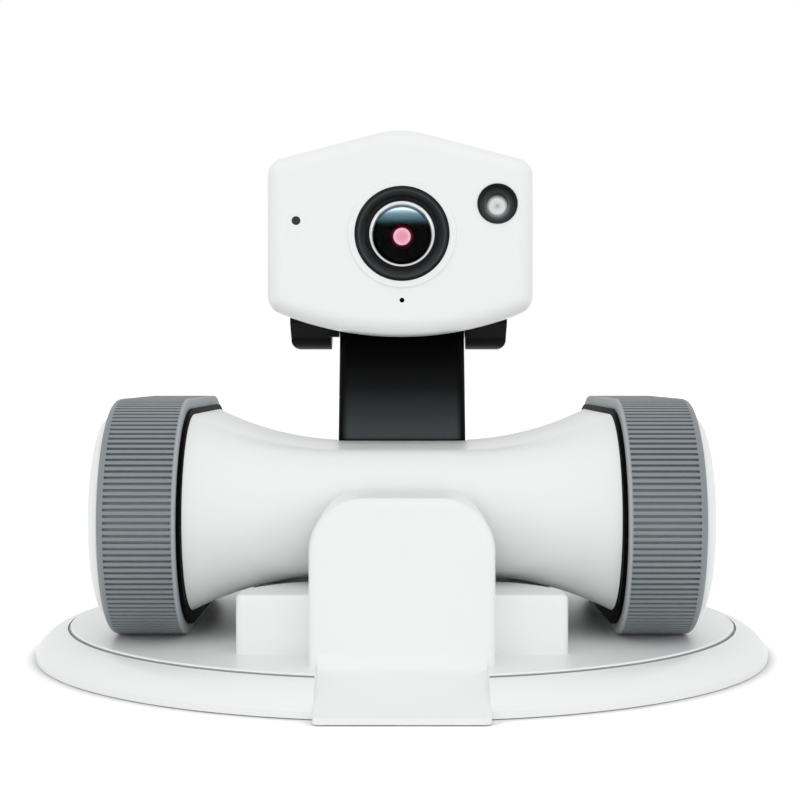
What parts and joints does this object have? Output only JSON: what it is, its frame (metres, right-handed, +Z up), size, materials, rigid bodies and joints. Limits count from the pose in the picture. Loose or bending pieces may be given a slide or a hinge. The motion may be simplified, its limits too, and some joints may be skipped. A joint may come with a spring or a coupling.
{
  "type": "robotic pet camera with charging dock",
  "caption": "Tracked home robot with a tilting camera head on a leaning neck, parked on a round white charging dock with a cradle and a front charging post.",
  "frame": {"origin": "centre of the round dock, on the table that its feet stand on", "axes": "+Z up, the robot and its charging post face -Y, and +X is the robot's own left"},
  "size_m": [0.2352, 0.2396, 0.1693],
  "materials": {
    "white_gloss": "moulded, soft gloss",
    "black_base": "moulded, fine texture",
    "foot_rubber": "matt",
    "screw_steel": "blackened steel",
    "axle_steel": "ground",
    "circuit_board": "solder mask",
    "inlet_metal": "bright tin plate",
    "contact_gold": "gold plated",
    "frame_black": "satin",
    "belt_rubber": "matt grey rubber",
    "wheel_grey": "moulded acetal",
    "motor_metal": "drawn steel can",
    "battery_wrap": "heat-shrunk sleeve",
    "speaker_cone": "paper cone in a steel frame",
    "switch_black": "moulded",
    "button_grey": "moulded",
    "bush_bronze": "sintered bronze",
    "gear_nylon": "natural nylon",
    "pinion_brass": "cut teeth",
    "neck_black": "satin black",
    "head_back_black": "satin black",
    "lens_black": "polished black",
    "trim_silver": "polished",
    "lens_glass": "coated glass",
    "lamp_clear": "clear acrylic",
    "sensor_smoke": "smoked acrylic"
  },
  "bodies": {
    "dock": {"dock_skirt": "white_gloss", "dock_deck": "white_gloss", "charging_post": "white_gloss", "dock_base_plate": "black_base", "dock_feet": "foot_rubber", "dock_screws": "screw_steel", "dock_board": "circuit_board", "power_inlet": "inlet_metal", "contact_block": "black_base"},
    "charge_pin_left": {"charge_pin_left": "contact_gold"},
    "charge_pin_right": {"charge_pin_right": "contact_gold"},
    "chassis": {"body_front_shell": "white_gloss", "body_rear_shell": "white_gloss", "charge_terminals": "contact_gold", "side_frame_left": "frame_black", "side_frame_right": "frame_black", "track_belt_left": "belt_rubber", "track_belt_right": "belt_rubber", "idler_axles": "axle_steel", "roller_pins": "axle_steel", "track_cover_left": "white_gloss", "track_cover_right": "white_gloss", "drive_motor_left": "motor_metal", "drive_motor_right": "motor_metal", "chassis_tray": "black_base", "neck_motor": "motor_metal", "battery_pack": "battery_wrap", "main_board": "circuit_board", "speaker": "speaker_cone", "power_switch": "switch_black", "neck_bushes": "bush_bronze"},
    "drive_left": {"drive_wheel_left": "wheel_grey", "drive_shaft_left": "axle_steel"},
    "drive_right": {"drive_wheel_right": "wheel_grey", "drive_shaft_right": "axle_steel"},
    "idler_left": {"idler_wheel_left": "wheel_grey"},
    "idler_right": {"idler_wheel_right": "wheel_grey"},
    "upper_roller_left": {"upper_roller_left": "wheel_grey"},
    "upper_roller_right": {"upper_roller_right": "wheel_grey"},
    "lower_roller_left": {"lower_roller_left": "wheel_grey"},
    "lower_roller_right": {"lower_roller_right": "wheel_grey"},
    "power_button": {"power_button": "button_grey"},
    "neck": {"neck_arm": "neck_black", "neck_rear_cover": "neck_black", "neck_shaft": "axle_steel", "neck_gear": "gear_nylon"},
    "neck_pinion": {"neck_pinion": "pinion_brass"},
    "head": {"head_front_shell": "white_gloss", "head_rear_shell": "head_back_black", "tilt_pin": "axle_steel", "lens_bezel": "lens_black", "lens_trim_ring": "trim_silver", "lens_glass": "lens_glass", "lens_barrel": "lens_black", "camera_board": "circuit_board", "lamp_bezel": "lens_black", "night_lamp": "lamp_clear", "light_sensor": "sensor_smoke", "head_screws": "screw_steel"}
  },
  "joints": [
    {"name": "robot_roll_back", "type": "slide", "parent": "dock", "child": "chassis", "axis": [0, 1, 0], "range_m": [0, 0.04]},
    {"name": "charge_pin_left_press", "type": "slide", "parent": "dock", "child": "charge_pin_left", "axis": [0, -1, 0], "range_m": [0, 0.0012], "stiffness_N_per_m": 200, "springref_m": -0.002},
    {"name": "charge_pin_right_press", "type": "slide", "parent": "dock", "child": "charge_pin_right", "axis": [0, -1, 0], "range_m": [0, 0.0012], "stiffness_N_per_m": 200, "springref_m": -0.002},
    {"name": "drive_left_spin", "type": "hinge", "parent": "chassis", "child": "drive_left", "pos_m": [0.0761, -0.034, 0.046], "axis": [1, 0, 0], "continuous": true},
    {"name": "idler_left_spin", "type": "hinge", "parent": "chassis", "child": "idler_left", "pos_m": [0.0761, 0.034, 0.046], "axis": [1, 0, 0], "continuous": true},
    {"name": "upper_roller_left_spin", "type": "hinge", "parent": "chassis", "child": "upper_roller_left", "pos_m": [0.0761, 0, 0.0707], "axis": [1, 0, 0], "continuous": true},
    {"name": "lower_roller_left_spin", "type": "hinge", "parent": "chassis", "child": "lower_roller_left", "pos_m": [0.0761, 0, 0.0213], "axis": [1, 0, 0], "continuous": true},
    {"name": "drive_right_spin", "type": "hinge", "parent": "chassis", "child": "drive_right", "pos_m": [-0.0761, -0.034, 0.046], "axis": [1, 0, 0], "continuous": true},
    {"name": "idler_right_spin", "type": "hinge", "parent": "chassis", "child": "idler_right", "pos_m": [-0.0761, 0.034, 0.046], "axis": [1, 0, 0], "continuous": true},
    {"name": "upper_roller_right_spin", "type": "hinge", "parent": "chassis", "child": "upper_roller_right", "pos_m": [-0.0761, 0, 0.0707], "axis": [1, 0, 0], "continuous": true},
    {"name": "lower_roller_right_spin", "type": "hinge", "parent": "chassis", "child": "lower_roller_right", "pos_m": [-0.0761, 0, 0.0213], "axis": [1, 0, 0], "continuous": true},
    {"name": "power_button_press", "type": "slide", "parent": "chassis", "child": "power_button", "axis": [0, -1, 0], "range_m": [0, 0.001], "stiffness_N_per_m": 400, "springref_m": -0.001},
    {"name": "neck_tilt", "type": "hinge", "parent": "chassis", "child": "neck", "pos_m": [0, 0.035, 0.0473], "axis": [1, 0, 0], "range_deg": [-40, 10]},
    {"name": "neck_pinion_spin", "type": "hinge", "parent": "chassis", "child": "neck_pinion", "pos_m": [-0.0284, 0.0158, 0.0473], "axis": [1, 0, 0], "range_deg": [-35, 125]},
    {"name": "head_tilt", "type": "hinge", "parent": "neck", "child": "head", "pos_m": [0, 0.044, 0.1075], "axis": [1, 0, 0], "range_deg": [-25, 30]}
  ],
  "couplings": [
    {"joint": "idler_left_spin", "follows": "drive_left_spin", "ratio": 1},
    {"joint": "upper_roller_left_spin", "follows": "drive_left_spin", "ratio": 4.2933},
    {"joint": "lower_roller_left_spin", "follows": "drive_left_spin", "ratio": 4.2933},
    {"joint": "idler_right_spin", "follows": "drive_right_spin", "ratio": 1},
    {"joint": "upper_roller_right_spin", "follows": "drive_right_spin", "ratio": 4.2933},
    {"joint": "lower_roller_right_spin", "follows": "drive_right_spin", "ratio": 4.2933},
    {"joint": "neck_pinion_spin", "follows": "neck_tilt", "ratio": -3}
  ]
}
